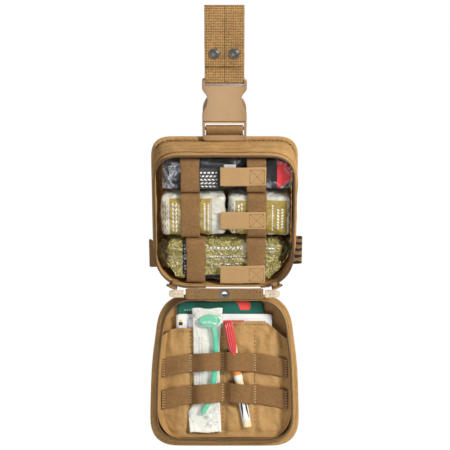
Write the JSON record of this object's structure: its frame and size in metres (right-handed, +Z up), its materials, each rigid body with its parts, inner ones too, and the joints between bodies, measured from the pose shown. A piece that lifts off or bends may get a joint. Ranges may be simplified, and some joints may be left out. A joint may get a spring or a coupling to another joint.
{
  "type": "drop leg trauma kit pouch",
  "caption": "Zip-round clamshell medical pouch, open, hung from a belt by snap-down webbing loops and a side-release buckle, packed with a tourniquet, dressings and an airway.",
  "frame": {"origin": "underside of the top fold of the two belt loops, midway between them, where a belt carries the kit", "axes": "+Z up along the hanging straps, +Y towards the wearer's leg behind the back panel, +X to the observer's right as they face the open pouch"},
  "size_m": [0.205, 0.1353, 0.5913],
  "materials": {
    "webbing": "woven nylon webbing",
    "pouch_fabric": "padded, coated woven nylon",
    "lining_fabric": "coated woven nylon",
    "elastic": "ribbed elastic webbing",
    "tab_tape": "smooth hook-and-loop backed tape",
    "end_tab": "pale woven tape",
    "moulded": "moulded acetal",
    "snap_metal": "dark oxide",
    "zip_metal": "dark lacquer",
    "zip_coil": "nylon coil",
    "black_nylon": "folded nylon strap",
    "black_plastic": "glass filled nylon",
    "red_plastic": "smooth",
    "clear_film": "clear crinkled film",
    "white_film": "vacuum packed gauze in white film",
    "olive_foil": "padded dressing in crinkled foil laminate",
    "green_card": "laminated card",
    "white_card": "card in a clear bag",
    "airway_green": "soft clear elastomer",
    "needle_yellow": "translucent tube",
    "label_white": "coated tape"
  },
  "bodies": {
    "belt_hanger": {"belt_strap_left": "webbing", "belt_strap_right": "webbing", "snap_stud_left": "snap_metal", "snap_stud_right": "snap_metal"},
    "left_belt_flap": {"belt_flap_left": "webbing", "snap_cap_left": "snap_metal"},
    "right_belt_flap": {"belt_flap_right": "webbing", "snap_cap_right": "snap_metal"},
    "socket": {"buckle_socket": "moulded"},
    "plug": {"buckle_plug": "moulded"},
    "left_prong": {"buckle_prong_left": "moulded"},
    "right_prong": {"buckle_prong_right": "moulded"},
    "back_half": {"back_panel": "pouch_fabric", "back_side_wall": "pouch_fabric", "back_zip": "zip_coil", "drop_webbing": "webbing", "band_left": "elastic", "band_right": "elastic", "pull_tab_top_sewn": "tab_tape", "pull_tab_middle_sewn": "tab_tape", "pull_tab_bottom_sewn": "tab_tape", "tourniquet_film": "clear_film", "tourniquet_strap": "black_nylon", "tourniquet_red_tip": "red_plastic", "windlass_clip": "black_plastic", "windlass_rod": "black_plastic", "time_strap": "label_white", "gauze_pack_left": "white_film", "gauze_pack_right": "white_film", "dressing_pack": "olive_foil", "thigh_strap": "elastic", "strap_keeper_left": "webbing", "strap_keeper_right": "webbing"},
    "top_tab": {"pull_tab_top_free": "tab_tape"},
    "middle_tab": {"pull_tab_middle_free": "tab_tape"},
    "bottom_tab": {"pull_tab_bottom_free": "tab_tape"},
    "left_slider": {"zip_slider_left": "zip_metal"},
    "right_slider": {"zip_slider_right": "zip_metal"},
    "left_pull": {"zip_pull_left": "zip_metal"},
    "right_pull": {"zip_pull_right": "zip_metal"},
    "hinge_strip": {"hinge_flap": "lining_fabric", "drain_grommet": "snap_metal", "zip_end_tab_left": "end_tab", "zip_end_tab_right": "end_tab"},
    "lid": {"lid_panel": "pouch_fabric", "lid_side_wall": "pouch_fabric", "lid_zip": "zip_coil", "inner_pocket": "lining_fabric", "pocket_band_upper": "elastic", "pocket_band_lower": "elastic", "instruction_card": "green_card", "casualty_card": "white_card", "airway_wrap": "white_film", "airway_tube": "airway_green", "needle_case": "needle_yellow", "lid_patch_field": "lining_fabric", "lid_webbing_upper": "webbing", "lid_webbing_lower": "webbing"},
    "cap": {"needle_cap": "red_plastic"}
  },
  "joints": [
    {"name": "left_flap_fold", "type": "hinge", "parent": "belt_hanger", "child": "left_belt_flap", "pos_m": [-0.0131, -0.0052, -0.0047], "axis": [-1, 0, 0], "range_deg": [0, 110]},
    {"name": "right_flap_fold", "type": "hinge", "parent": "belt_hanger", "child": "right_belt_flap", "pos_m": [0.0131, -0.0052, -0.0047], "axis": [-1, 0, 0], "range_deg": [0, 110]},
    {"name": "buckle_swing", "type": "hinge", "parent": "belt_hanger", "child": "socket", "pos_m": [0, 0.0007, -0.0982], "axis": [1, 0, 0], "range_deg": [-20, 20]},
    {"name": "plug_release", "type": "slide", "parent": "socket", "child": "plug", "axis": [0, 0, -1], "range_m": [0, 0.048], "deforming": ["buckle_prong_left", "buckle_prong_right"]},
    {"name": "left_prong_squeeze", "type": "hinge", "parent": "plug", "child": "left_prong", "pos_m": [-0.0208, 0.0007, -0.1462], "axis": [0, 1, 0], "range_deg": [0, 8], "stiffness_Nm_per_rad": 1},
    {"name": "right_prong_squeeze", "type": "hinge", "parent": "plug", "child": "right_prong", "pos_m": [0.0208, 0.0007, -0.1462], "axis": [0, -1, 0], "range_deg": [0, 8], "stiffness_Nm_per_rad": 1},
    {"name": "pouch_swing", "type": "hinge", "parent": "plug", "child": "back_half", "pos_m": [0, 0.0005, -0.163], "axis": [1, 0, 0], "range_deg": [-4, 60]},
    {"name": "top_tab_lift", "type": "hinge", "parent": "back_half", "child": "top_tab", "pos_m": [0.031, -0.04665, -0.216], "axis": [0, 0, 1], "range_deg": [0, 120], "deforming": ["pull_tab_top_free"]},
    {"name": "middle_tab_lift", "type": "hinge", "parent": "back_half", "child": "middle_tab", "pos_m": [0.031, -0.04665, -0.277], "axis": [0, 0, 1], "range_deg": [0, 120], "deforming": ["pull_tab_middle_free"]},
    {"name": "bottom_tab_lift", "type": "hinge", "parent": "back_half", "child": "bottom_tab", "pos_m": [0.031, -0.04665, -0.3545], "axis": [0, 0, 1], "range_deg": [0, 120], "deforming": ["pull_tab_bottom_free"]},
    {"name": "left_zip_run", "type": "hinge", "parent": "back_half", "child": "left_slider", "pos_m": [-0.048, -0.052, -0.327], "axis": [0, 1, 0], "range_deg": [0, 60]},
    {"name": "right_zip_run", "type": "hinge", "parent": "back_half", "child": "right_slider", "pos_m": [0.048, -0.052, -0.327], "axis": [0, -1, 0], "range_deg": [0, 60]},
    {"name": "left_pull_tip", "type": "hinge", "parent": "left_slider", "child": "left_pull", "pos_m": [-0.06998, -0.052, -0.37068], "axis": [0, -1, 0], "range_deg": [0, 60]},
    {"name": "right_pull_tip", "type": "hinge", "parent": "right_slider", "child": "right_pull", "pos_m": [0.06998, -0.052, -0.37068], "axis": [0, 1, 0], "range_deg": [0, 60]},
    {"name": "lid_fold", "type": "hinge", "parent": "back_half", "child": "lid", "pos_m": [0, -0.052, -0.38], "axis": [-1, 0, 0], "range_deg": [0, 160]},
    {"name": "hinge_strip_fold", "type": "hinge", "parent": "back_half", "child": "hinge_strip", "pos_m": [0, -0.052, -0.38], "axis": [-1, 0, 0], "range_deg": [0, 80]},
    {"name": "cap_pull", "type": "slide", "parent": "lid", "child": "cap", "axis": [-0.1849, 0.3361, 0.9235], "range_m": [0, 0.012]}
  ],
  "couplings": [
    {"joint": "right_prong_squeeze", "follows": "left_prong_squeeze", "ratio": 1},
    {"joint": "hinge_strip_fold", "follows": "lid_fold", "ratio": 0.5}
  ]
}
